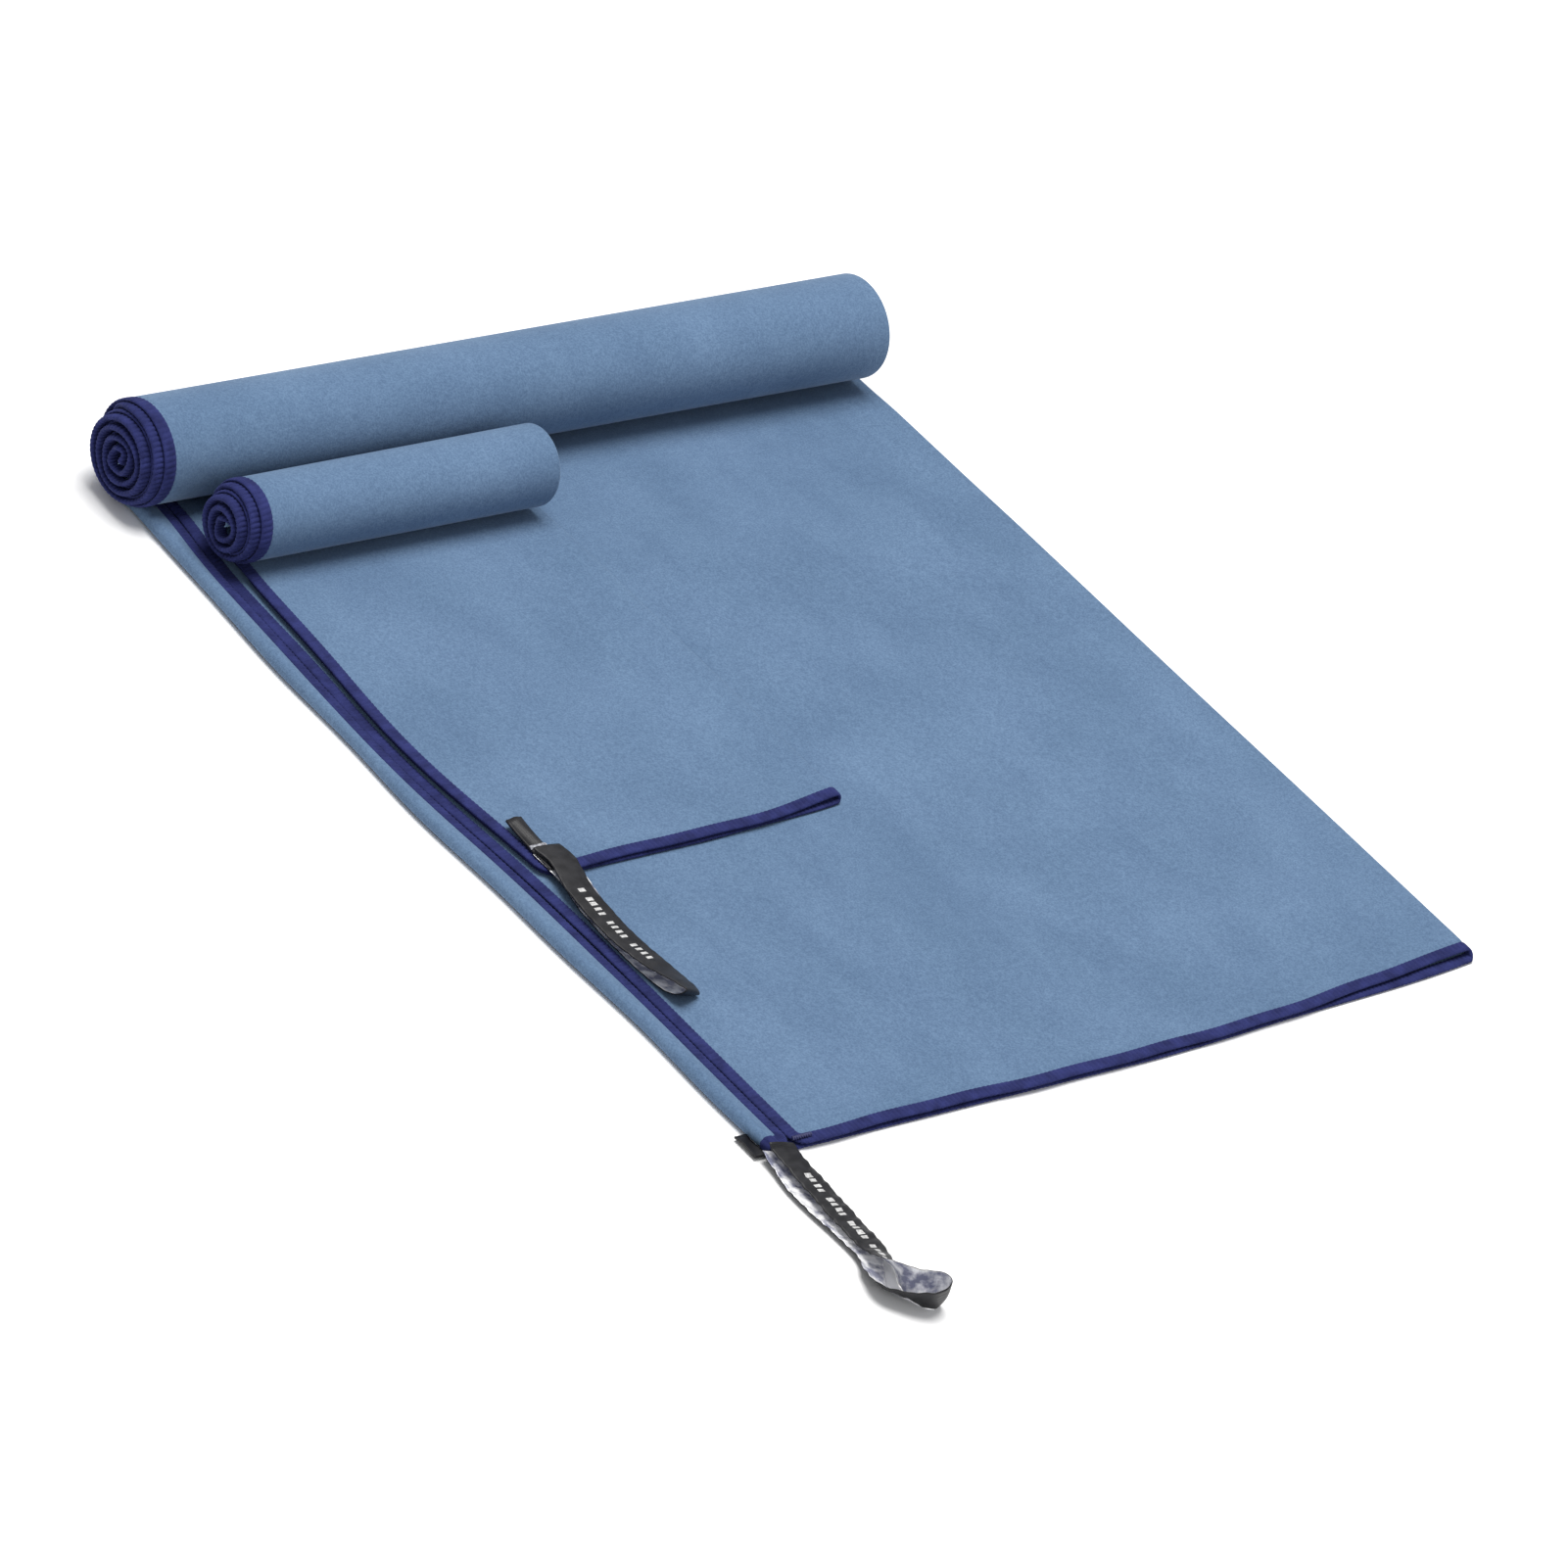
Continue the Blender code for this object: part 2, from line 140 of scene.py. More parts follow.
def border(rows, columns):
    """Indices round a grid, counter-clockwise."""
    first = np.arange(columns)
    right = np.arange(1, rows) * columns + columns - 1
    last = (rows - 1) * columns + np.arange(columns - 2, -1, -1)
    left = np.arange(rows - 2, 0, -1) * columns
    return np.concatenate([first, right, last, left])


def slab(name, top, bottom, materials, pick=None):
    """Closed slab between two grids of the same shape; pick gives each top cell's material."""
    rows, columns = top.shape[:2]
    count = rows * columns
    points = np.concatenate([top.reshape(-1, 3), bottom.reshape(-1, 3)])
    upper = grid_faces(rows, columns)
    lower = grid_faces(rows, columns, count, flip=True)
    ring = border(rows, columns)
    following = np.roll(ring, -1)
    sides = np.stack([ring, ring + count, following + count, following], 1)
    faces = np.concatenate([upper, lower, sides])
    indices = None
    if pick is not None:
        indices = np.concatenate([pick.ravel(), np.ones(len(lower), int),
                                  np.zeros(len(sides), int)])
    return make_mesh(name, points, faces, materials, indices)


def tube(name, points, material):
    """Closed band from a (stations, ring, 3) array that runs round and meets itself."""
    stations, ring = points.shape[:2]
    i, j = np.meshgrid(np.arange(stations), np.arange(ring), indexing="ij")
    after, beside = (i + 1) % stations, (j + 1) % ring
    quads = np.stack([i * ring + j, i * ring + beside, after * ring + beside,
                      after * ring + j], -1).reshape(-1, 4)
    return make_mesh(name, points.reshape(-1, 3), quads, [material])


# ------------------------------------------------------------------ materials
class Graph:
    """Node graph of one material, with short ways to add what the cloths share."""

    def __init__(self, name, roughness, **numbers):
        self.material = bpy.data.materials.new(name)
        self.material.use_nodes = True
        self.tree = self.material.node_tree
        self.shader = self.tree.nodes["Principled BSDF"]
        self.shader.inputs["Roughness"].default_value = roughness
        for key, value in numbers.items():
            self.shader.inputs[key.replace("_", " ")].default_value = value
        self.place = self.node("ShaderNodeTexCoord").outputs["Object"]

    def node(self, kind, **settings):
        made = self.tree.nodes.new(kind)
        for key, value in settings.items():
            setattr(made, key, value)
        return made

    def link(self, out, into):
        self.tree.links.new(out, into)

    def noise(self, scale, detail=2.0, stretch=None):
        texture = self.node("ShaderNodeTexNoise")
        texture.inputs["Scale"].default_value = scale
        texture.inputs["Detail"].default_value = detail
        self.link(self.scaled(stretch), texture.inputs["Vector"])
        return texture.outputs["Fac"]

    def scaled(self, stretch):
        if stretch is None:
            return self.place
        mapping = self.node("ShaderNodeMapping")
        mapping.inputs["Scale"].default_value = stretch
        self.link(self.place, mapping.inputs["Vector"])
        return mapping.outputs["Vector"]

    def ramp(self, value, low, high, colours):
        ramp = self.node("ShaderNodeValToRGB")
        ramp.color_ramp.elements[0].position = low
        ramp.color_ramp.elements[1].position = high
        for element, colour in zip(ramp.color_ramp.elements, colours):
            element.color = (*colour, 1.0)
        self.link(value, ramp.inputs["Fac"])
        return ramp.outputs["Color"]

    def mix(self, a, b, factor, kind="MULTIPLY"):
        mix = self.node("ShaderNodeMix", data_type="RGBA", blend_type=kind)
        mix.inputs["Factor"].default_value = factor
        self.link(a, mix.inputs[6])
        self.link(b, mix.inputs[7])
        return mix.outputs[2]

    def bump(self, height, strength, distance, below=None):
        bump_node = self.node("ShaderNodeBump")
        bump_node.inputs["Strength"].default_value = strength
        bump_node.inputs["Distance"].default_value = distance
        self.link(height, bump_node.inputs["Height"])
        if below is not None:
            self.link(below, bump_node.inputs["Normal"])
        return bump_node.outputs["Normal"]

    def finish(self, colour, normal):
        self.link(colour, self.shader.inputs["Base Color"])
        self.link(normal, self.shader.inputs["Normal"])
        return self.material


def suede():
    """Napped microfibre: brushed patches, cloudy tone and a fine fibre grain under a soft sheen."""
    g = Graph("suede_microfibre", 0.92, Sheen_Weight=0.30, Sheen_Roughness=0.42,
              Sheen_Tint=(0.62, 0.76, 0.95, 1.0), Specular_IOR_Level=0.15)
    cloud = g.ramp(g.noise(16.0, 3.0), 0.34, 0.68, [(0.116, 0.189, 0.300), (0.138, 0.218, 0.340)])
    brushed = g.ramp(g.noise(48.0, 3.0, (1.0, 0.45, 1.0)), 0.32, 0.68,
                     [(0.90, 0.91, 0.93), (1.0, 1.0, 1.0)])
    flecks = g.ramp(g.noise(430.0, 3.0), 0.36, 0.64, [(0.88, 0.89, 0.91), (1.0, 1.0, 1.0)])
    grain = g.ramp(g.noise(1150.0, 3.0), 0.36, 0.64, [(0.74, 0.77, 0.80), (1.0, 1.0, 1.0)])
    colour = g.mix(g.mix(g.mix(cloud, brushed, 1.0), flecks, 1.0), grain, 1.0)
    fibres = g.bump(g.noise(1700.0, 2.0), 0.45, 0.0003)
    return g.finish(colour, g.bump(g.noise(300.0, 2.0), 0.28, 0.0006, fibres))


def overlock():
    """Navy textured-nylon thread, finer than the ridges that the mesh carries."""
    g = Graph("overlock_thread", 0.78, Sheen_Weight=0.10, Sheen_Roughness=0.5,
              Sheen_Tint=(0.40, 0.46, 0.95, 1.0), Specular_IOR_Level=0.10)
    tone = g.ramp(g.noise(160.0, 2.0), 0.3, 0.7, [(0.016, 0.020, 0.086), (0.029, 0.036, 0.146)])
    strands = g.ramp(g.noise(2600.0, 2.0), 0.3, 0.7, [(0.62, 0.62, 0.66), (1.0, 1.0, 1.0)])
    return g.finish(g.mix(tone, strands, 0.8), g.bump(g.noise(2600.0, 2.0), 0.5, 0.0003))


def satin(name, dark, light, roughness, metal, weave):
    """Narrow woven ribbon: fine cross ribs, with a slow change of tone along it; on the silver
    ribbon that change is painted highlights and painted reflections of crumpled foil.
    """
    g = Graph(name, roughness, Metallic=metal, Specular_IOR_Level=0.35)
    wave = g.node("ShaderNodeTexWave", bands_direction="Y")
    wave.inputs["Scale"].default_value = 520.0
    wave.inputs["Distortion"].default_value = 1.2
    g.link(g.place, wave.inputs["Vector"])
    # on the black ribbon this ramp is its own slight tone; on the silver one it paints glinting
    # highlights and dark painted reflections
    tone = g.ramp(g.noise(170.0, 3.0), 0.38, 0.60, [dark, light])
    ribs = g.ramp(wave.outputs["Fac"], 0.1, 0.9, [(0.75, 0.75, 0.77), (1.0, 1.0, 1.0)])
    return g.finish(g.mix(tone, ribs, weave), g.bump(wave.outputs["Fac"], 0.25, 0.0002))


def thread(name, dark, light):
    g = Graph(name, 0.55, Specular_IOR_Level=0.4)
    tone = g.ramp(g.noise(900.0, 2.0), 0.35, 0.65, [dark, light])
    return g.finish(tone, g.bump(g.noise(2400.0, 2.0), 0.4, 0.0002))


SUEDE = suede()
OVERLOCK = overlock()
BLACK = satin("ribbon_black", (0.005, 0.005, 0.007), (0.015, 0.015, 0.018), 0.45, 0.0, 0.7)
# the silver ribbon's ramp from dark blue-grey to white is painted highlights and painted
# reflections of the crumpled foil, not its own tone
SILVER = satin("ribbon_silver", (0.22, 0.23, 0.32), (1.00, 1.00, 1.00), 0.26, 0.25, 0.3)
PRINT = thread("ribbon_print", (0.36, 0.36, 0.36), (0.62, 0.62, 0.62))
TACK = thread("tack_thread_grey", (0.10, 0.10, 0.12), (0.45, 0.46, 0.50))
TACK_NAVY = thread("tack_thread_navy", (0.016, 0.018, 0.070), (0.030, 0.034, 0.120))


# ------------------------------------------------------------------ one folded, rolled towel
class Towel:
    """The middle surface of a towel's cloth, as a function of its own lengths.

    u runs across the cloth from the lower ply's edge, round the fold, to the upper ply's edge.
    v runs along it: negative on the flat, 0 at the roll's lowest line, positive in the roll.
    """

    def __init__(self, name, turns, bow, skew, curled, drift, set_back, hem_wave, slit, oval):
        """curled: the lower ply's margin is folded back; drift: sideways creep in the roll;
        set_back: how far the cut edge moves in from CAD's; hem_wave: swings of the upper ply's
        edge as (size, place along Y, reach); slit: how flat the core is pressed; oval: width of
        the roll over its height."""
        flat_low, flat_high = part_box(f"{name}_cloth_flat")
        roll_low, roll_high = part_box(f"{name}_cloth_roll")
        self.name = name
        self.turns = turns
        self.bow = bow
        self.skew = skew
        self.curled = curled
        self.drift = drift
        self.hem_wave = hem_wave
        self.slit = slit
        self.oval = oval
        self.pitch = 2.0 * PLY_PITCH
        self.base = roll_low.z
        self.radius = 0.5 * (roll_high.z - roll_low.z + 0.5 * self.pitch)
        self.x_low = roll_low.x
        self.y_hems = flat_high.y
        self.x_fold = flat_high.x
        self.y_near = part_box(f"{name}_hem_near_end")[0].y
        self.x_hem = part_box(f"{name}_hem_upper_side_flat")[0].x
        self.x_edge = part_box(f"{name}_hem_lower_side_roll")[1].x - HEM_WIDTH + set_back
        self.x_ring = self.x_edge - RING_STEP
        self.x_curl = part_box(f"{name}_hem_near_end")[0].x + 0.5 * PLY + FOLD_RADIUS
        self.flat_length = self.y_hems - self.y_near
        self.inner = self.radius - MID
        angle = 2.0 * math.pi * turns
        self.wound_length = self.inner * angle - self.pitch * angle ** 2 / (4.0 * math.pi)

    # ---- widths
    def bend_radius(self, v):
        """The fold is puffed up on the flat and pressed tight in the roll."""
        return 0.5 * PLY_PITCH + FOLD_PUFF * smooth((-v - 0.012) / 0.03)

    def curl(self, v):
        if not self.curled:
            return np.zeros_like(v)
        return smooth((0.003 - v) / 0.012)

    def bow_out(self, v):
        """How far the folded margin swings in (+) or out (-) along the strip."""
        y = self.along(v)
        swing = -0.0034 * bump((y - 0.006) / 0.09) + 0.0070 * bump((y - 0.240) / 0.065)
        return swing + 0.0006 * np.sin(v * 61.0)

    def margin(self, v):
        """Cloth past lower_start; folded back, its edge follows the upper ply's edge."""
        reach = self.hem_line(v) - HEM_GAP - self.x_curl - self.bow_out(v)
        straight = (reach + FOLD_RADIUS * math.sin(FOLD_ANGLE)) / -math.cos(FOLD_ANGLE)
        return MARGIN + self.curl(v) * (straight - FOLD_BACK)

    def lower_start(self, v):
        """X where the lower ply leaves its folded or flat margin."""
        level = self.x_edge + MARGIN
        if self.curled:
            return level + (self.x_curl + self.bow_out(v) - level) * self.curl(v)
        return level + (self.hem_line(v) + HEM_GAP - self.x_edge) * smooth(-v / 0.02)

    def hem_line(self, v):
        """X of the upper ply's edge."""
        y = self.along(v)
        flat = self.x_hem
        for size, place, width in self.hem_wave:
            flat = flat + size * bump((y - place) / width)
        turn = np.maximum(v, 0.0) / (2.0 * math.pi * self.radius)
        return flat + (self.x_ring - flat) * smooth(turn / 0.45)

    def along(self, v):
        return self.y_hems + np.minimum(v, 0.0)

    def axis(self, x):
        """Y of the roll's axis, which lies further back towards the hems."""
        return self.y_hems - self.skew * (x - self.x_low) / (self.x_fold - self.x_low)

    def width(self, v):
        lower = self.fold_start(v) - self.lower_start(v)
        upper = self.fold_start(v) - self.hem_line(v)
        return self.margin(v) + lower + math.pi * self.bend_radius(v) + upper

    def fold_start(self, v):
        return self.x_fold - 0.5 * PLY - self.bend_radius(v)

    # ---- the surface
    def section(self, u, v):
        """X and height on the cross-section, and how far a point is on the upper ply, 0 to 1."""
        start, fold, bend = self.lower_start(v), self.fold_start(v), self.bend_radius(v)
        margin = self.margin(v)
        out = margin - u
        level = np.minimum(out, (1.0 - self.curl(v)) * margin)
        turn = np.clip((out - level) / FOLD_RADIUS, 0.0, FOLD_ANGLE)
        straight = np.maximum(out - level - FOLD_RADIUS * FOLD_ANGLE, 0.0)
        x = start - level - FOLD_RADIUS * np.sin(turn) - straight * np.cos(turn)
        height = MID + FOLD_RADIUS * (1.0 - np.cos(turn)) + straight * np.sin(turn)
        height = np.where(turn > 0.5 * math.pi, np.maximum(height, MID + 0.95 * HEM), height)
        height = np.minimum(height, self.room(v))
        over = u - margin
        x, height = np.where(over > 0, start + over, x), np.where(over > 0, MID, height)
        over = over - (fold - start)
        turn = over / bend
        x = np.where(over > 0, fold + bend * np.sin(turn), x)
        height = np.where(over > 0, MID + bend * (1.0 - np.cos(turn)), height)
        upper = np.where(over > 0, 0.5 - 0.5 * np.cos(np.clip(turn, 0, math.pi)), 0.0)
        over = over - math.pi * bend
        puff = (2.0 * bend - PLY_PITCH) * bump(over / 0.016)
        x = np.where(over > 0, fold - over, x)
        height = np.where(over > 0, MID + PLY_PITCH + puff, height)
        return x, height, upper

    def room(self, v):
        """The most height there is for the folded margin under the overhang of the roll."""
        away = np.clip(-v, 0.0, 0.98 * self.radius)
        ring = self.radius - self.pitch
        under = self.pitch + ring - np.sqrt(np.maximum(ring ** 2 - away ** 2, 0.0)) - HEM
        return np.where(-v < 0.9 * self.radius, np.maximum(under, MID + 0.9 * HEM), 1.0)

    def near_line(self, x, upper):
        """Y of the near end, which sweeps back towards the fold."""
        middle = 0.5 * (self.x_hem + self.x_fold)
        share = np.maximum(0.0, (x - middle) / (self.x_fold - middle))
        lag = -PLY_LAG * smooth((share - 0.35) / 0.6) * (1.0 - upper)
        ripple = 0.0005 * np.sin(47.0 * x + 1.0) + 0.0003 * np.sin(118.0 * x)
        return self.y_near + self.bow * share ** 1.5 + lag * self.bow / LARGE_BOW + ripple * upper

    def surface(self, u, v):
        """Points of the middle surface, as an array with a last axis of 3."""
        u, v = np.broadcast_arrays(np.asarray(u, float), np.asarray(v, float))
        x, height, upper = self.section(u, v)
        share = 1.0 + v / self.flat_length
        near = self.near_line(x, upper)
        axis = self.axis(x)
        y_flat = near + share * (axis - near)
        z_flat = self.base + height + self.lift(x, y_flat, upper)
        angle = self.angle(np.maximum(v, 0.0))
        turn = angle / (2.0 * math.pi)
        radius = self.radius - self.pitch * turn - height
        pressed = self.slit * smooth((turn - 1.2) / (self.turns - 1.2)) ** 2
        y_wound = axis + (self.oval * radius - pressed) * np.sin(angle)
        z_wound = self.base + self.radius - radius * np.cos(angle)
        shift = self.drift * smooth(turn / 1.5) + 0.0006 * np.sin(2.3 * turn * turn) * smooth(turn)
        x = x - shift
        wound = v > 0
        return np.stack([x, np.where(wound, y_wound, y_flat), np.where(wound, z_wound, z_flat)], -1)

    def angle(self, v):
        """Angle that the strip has turned through after a length v of winding."""
        inside = np.maximum(self.inner ** 2 - self.pitch * v / math.pi, 1e-12)
        return (self.inner - np.sqrt(inside)) * 2.0 * math.pi / self.pitch

    def lift(self, x, y, upper):
        """Soft unevenness of the flat run, shared by all that lies on it."""
        wave = 0.5 + 0.22 * np.sin(23.0 * x + 9.0 * y) + 0.18 * np.sin(31.0 * y - 14.0 * x + 1.3)
        wave = wave + 0.10 * np.sin(57.0 * x + 21.0 * y + 2.0)
        amount = UNEVENNESS * smooth((0.150 - y) / 0.05) * smooth((y + 0.245) / 0.02)
        return amount * wave * (upper if self.curled else 1.0)

    def normal(self, u, v):
        step = 2e-4
        across = self.surface(u + step, v) - self.surface(u - step, v)
        along = self.surface(u, v + step) - self.surface(u, v - step)
        normal = np.cross(across, along)
        return normal / np.linalg.norm(normal, axis=-1, keepdims=True)

    # ---- pieces
    def build(self):
        return self.build_cloth(), self.build_overlock()

    def build_cloth(self):
        inset = CLOTH_INSET
        near = -self.flat_length
        v = np.concatenate([near + inset + 0.014 * np.linspace(0, 1, 13)[:-1] ** 1.2,
                            np.linspace(near + 0.014 + inset, -0.034, 62)[:-1],
                            np.linspace(-0.034, 0.0, 22)[:-1],
                            np.linspace(0, self.wound_length - inset, round(self.turns * 46))])
        width, start = self.width(v), self.lower_start(v)
        fold, bend = self.fold_start(v), self.bend_radius(v)
        margin = self.margin(v)
        columns = [inset + (margin - inset) * s for s in np.linspace(0, 1, 30)[:-1]]
        columns += [margin + (fold - start) * s for s in np.linspace(0, 1, 48)[:-1]]
        turn_start = margin + fold - start
        columns += [turn_start + math.pi * bend * s for s in np.linspace(0, 1, 11)[:-1]]
        flat_start = turn_start + math.pi * bend
        shares = 1.0 - (1.0 - np.linspace(0, 1, 56)) ** 1.15
        columns += [flat_start + (width - inset - flat_start) * s for s in shares]
        u = np.stack(columns, 1)
        v = np.repeat(v[:, None], u.shape[1], 1)
        u, v = self.round_corners(u, v, inset)
        points, normal = self.surface(u, v), self.normal(u, v)
        edge = np.minimum(np.minimum(u, self.width(v) - u), v - near)
        half = (0.5 * PLY - EDGE_THINNING * (1.0 - smooth((edge - 0.0045) / 0.004)))[..., None]
        return slab(f"{self.name}_cloth", points + normal * half, points - normal * half, [SUEDE])

    def round_corners(self, u, v, inset):
        """Pull the square near corners of the sheet in to a round one."""
        near = -self.flat_length
        width = self.width(v)
        for flip in (False, True):
            a = (width - u if flip else u) - inset
            b = v - near - inset
            size = CORNER - inset
            inside = (a < size) & (b < size)
            qa, qb = size - a, size - b
            reach = np.hypot(qa, qb)
            factor = np.where(reach > 1e-9, np.maximum(qa, qb) / np.maximum(reach, 1e-9), 1.0)
            a = np.where(inside, size - qa * factor, a)
            v = np.where(inside, near + inset + size - qb * factor, v)
            u = (width - a - inset) if flip else (a + inset)
        return u, v

    def edge_path(self, inset):
        """(u, v) round the whole edge at each inset, and each station's place in its stitch."""
        near, far = -self.flat_length, self.wound_length
        inset = inset[None, :]
        arc = CORNER - inset
        rows = []

        def run(length):
            count = max(2, round(length / STITCH)) * STITCH_STEPS
            return np.arange(count) / count, np.arange(count) % STITCH_STEPS / STITCH_STEPS

        def corner():
            share, phase = run(0.5 * math.pi * CORNER)
            return 0.5 * math.pi * share[:, None], phase

        def add(u, v, phase, upper=False):
            u, v = np.broadcast_arrays(u, v)
            rows.append((self.width(v) - u if upper else u, v, phase))

        share, phase = run(far - near - 2 * CORNER)
        add(inset, far - CORNER - share[:, None] * (far - near - 2 * CORNER), phase)
        turn, phase = corner()
        add(CORNER - arc * np.cos(turn), near + CORNER - arc * np.sin(turn), phase)
        across = float(self.width(np.array(near))) - 2 * CORNER
        share, phase = run(across)
        add(CORNER + share[:, None] * across, near + inset, phase)
        turn, phase = corner()
        add(CORNER - arc * np.sin(turn), near + CORNER - arc * np.cos(turn), phase, True)
        share, phase = run(far - near - 2 * CORNER)
        add(inset, near + CORNER + share[:, None] * (far - near - 2 * CORNER), phase, True)
        turn, phase = corner()
        add(CORNER - arc * np.cos(turn), far - CORNER + arc * np.sin(turn), phase, True)
        across = float(self.width(np.array(far))) - 2 * CORNER
        share, phase = run(across)
        add(CORNER + share[:, None] * across, far - inset, phase, True)
        turn, phase = corner()
        add(CORNER - arc * np.sin(turn), far - CORNER + arc * np.cos(turn), phase)
        return [np.concatenate([row[k] for row in rows]) for k in range(3)]

    def build_overlock(self):
        """Thread wrapped over the edge, with one raised ridge for each stitch."""
        inset = HEM_WIDTH * np.array([1.0, 0.95, 0.80, 0.58, 0.34, 0.14, 0.03, -0.05])
        height = 0.5 * HEM * np.array([0.45, 0.86, 1.0, 1.03, 1.03, 0.98, 0.70, 0.0])
        inset = np.concatenate([inset, inset[-2::-1]])
        height = np.concatenate([height, -height[-2::-1]])
        u, v, phase = self.edge_path(inset)
        slant = RIDGE_SLANT * inset / HEM_WIDTH * np.sign(height)
        place = (phase[:, None] + slant[None, :]) % 1.0
        ridge = np.sqrt(np.maximum(0.0, 1.0 - (2.0 * place - 1.0) ** 2))
        puff = 1.0 + ROLL_PUFF * (u > 0.5 * self.width(v)) * smooth(v / 0.04)
        lifted = puff * height[None, :] * (RIDGE_LOW + RIDGE_RISE * ridge)
        points = self.surface(u, v) + self.normal(u, v) * lifted[..., None]
        return tube(f"{self.name}_overlock", points, OVERLOCK)


# ------------------------------------------------------------------ ribbons
def through(rows, count):
    """Smooth line (Catmull-Rom, by length) through rows of numbers, at evenly spaced steps."""
    rows = np.asarray(rows, float)
    ends = np.concatenate([[2 * rows[0] - rows[1]], rows, [2 * rows[-1] - rows[-2]]])
    fine = []
    for k in range(len(rows) - 1):
        p0, p1, p2, p3 = ends[k:k + 4]
        t = np.linspace(0, 1, 60, endpoint=False)[:, None]
        fine.append(0.5 * (2 * p1 + (p2 - p0) * t + (2 * p0 - 5 * p1 + 4 * p2 - p3) * t ** 2
                           + (3 * p1 - p0 - 3 * p2 + p3) * t ** 3))
    fine = np.concatenate(fine + [rows[-1:]])
    run = np.concatenate([[0.0], np.cumsum(np.linalg.norm(np.diff(fine[:, :3], axis=0), axis=1))])
    places = np.linspace(0, run[-1], count)
    return np.stack([np.interp(places, run, fine[:, k]) for k in range(fine.shape[1])], 1), run[-1]


def ribbon(name, rows, marks, crumple):
    """Printed ribbon loop from rows of (x, y, z of one edge, lean from upright, lean's heading).

    Lean and heading are in degrees; heading 0 leans towards -X and 90 towards -Y. The print is
    a row of plain blocks on the outer face, between the two shares of the length in marks.
    """
    line, length = through(rows, 260)
    lean, heading = np.radians(line[:, 3]), np.radians(line[:, 4])
    rise = np.stack([-np.sin(lean) * np.cos(heading), -np.sin(lean) * np.sin(heading),
                     np.cos(lean)], 1)
    across = np.linspace(0, 1, 17)
    points = line[:, None, :3] + rise[:, None, :] * (RIBBON * across)[None, :, None]
    along = np.gradient(line[:, :3], axis=0)
    normal = np.cross(rise, along)
    normal = normal / np.linalg.norm(normal, axis=1, keepdims=True)
    s = np.linspace(0, length, len(line))[:, None] * 1000.0
    w = across[None, :]
    cup = RIBBON_CUP * (1.0 - (2.0 * w - 1.0) ** 2)
    wrinkle = np.sin(0.55 * s + 3.0 * w) * np.sin(0.23 * s + 1.0) + 0.5 * np.sin(1.3 * s - 5.0 * w)
    points = points + normal[:, None, :] * (cup + crumple * wrinkle)[..., None]
    half = 0.5 * RIBBON_THICKNESS * normal[:, None, :]
    pick = np.zeros((len(line) - 1, len(across) - 1), int)
    share = (np.arange(len(line) - 1) + 0.5) / (len(line) - 1)
    step = share * length / MARK_PITCH
    inked = (share > marks[0]) & (share < marks[1])
    inked = inked & (step % 1.0 < MARK_FILL) & (step % MARK_GROUP > 1.0)
    pick[np.ix_(inked, MARK_STEPS)] = 2
    return slab(name, points + half, points - half, [BLACK, SILVER, PRINT], pick), length


def tab(name, low, high, curl_up, heading):
    """Cut ribbon ends, a short double layer with a raised free edge towards -X or +Y."""
    out, side = np.meshgrid(np.linspace(0, 1, 14), np.linspace(0, 1, 9), indexing="ij")
    size = high - low
    if heading == "-x":
        x, y = low.x + size.x * (1.0 - out), low.y + size.y * side
    else:
        x, y = low.x + size.x * side, low.y + size.y * out
    z = low.z + 0.0007 + curl_up * out ** 2 + 0.0004 * np.sin(7.0 * side + 4.0 * out)
    middle = np.stack([x, y, z], -1)
    rise = np.array([0.0, 0.0, RIBBON_THICKNESS])
    return slab(name, middle + rise, middle - rise, [BLACK])


def bar_tack(name, low, high, material, stitches):
    """Zigzag of satin stitches across the ribbon, each a small raised thread."""
    size = high - low
    rows = np.array([(low.x + size.x * (k / stitches), low.y + size.y * (k % 2), low.z + 0.0004)
                     for k in range(stitches + 1)])
    points = np.array([a + (b - a) * t + np.array([0, 0, TACK_ARCH * math.sin(math.pi * t)])
                       for a, b in zip(rows[:-1], rows[1:]) for t in np.linspace(0, 1, 7)[:-1]])
    along = np.gradient(points, axis=0)
    along = along / np.linalg.norm(along, axis=1, keepdims=True)
    side = np.cross(along, (0.0, 0.0, 1.0))
    side = side / np.linalg.norm(side, axis=1, keepdims=True)
    up = np.cross(side, along)
    turns = np.linspace(0, 2 * math.pi, 8, endpoint=False)
    ring = (side[:, None, :] * np.cos(turns)[None, :, None]
            + up[:, None, :] * np.sin(turns)[None, :, None]) * TACK_THREAD
    rings = points[:, None, :] + ring
    count, sides = rings.shape[:2]
    i, j = np.meshgrid(np.arange(count - 1), np.arange(sides), indexing="ij")
    beside = (j + 1) % sides
    quads = np.stack([i * sides + j, i * sides + beside, (i + 1) * sides + beside,
                      (i + 1) * sides + j], -1).reshape(-1, 4)
    caps = [[first, first + k + 1, first + k + 2, first + k + 3][::order]
            for first, order in ((0, 1), ((count - 1) * sides, -1)) for k in (0, 2, 4)]
    quads = np.concatenate([quads, np.array(caps)])
    return make_mesh(name, rings.reshape(-1, 3), quads, [material])


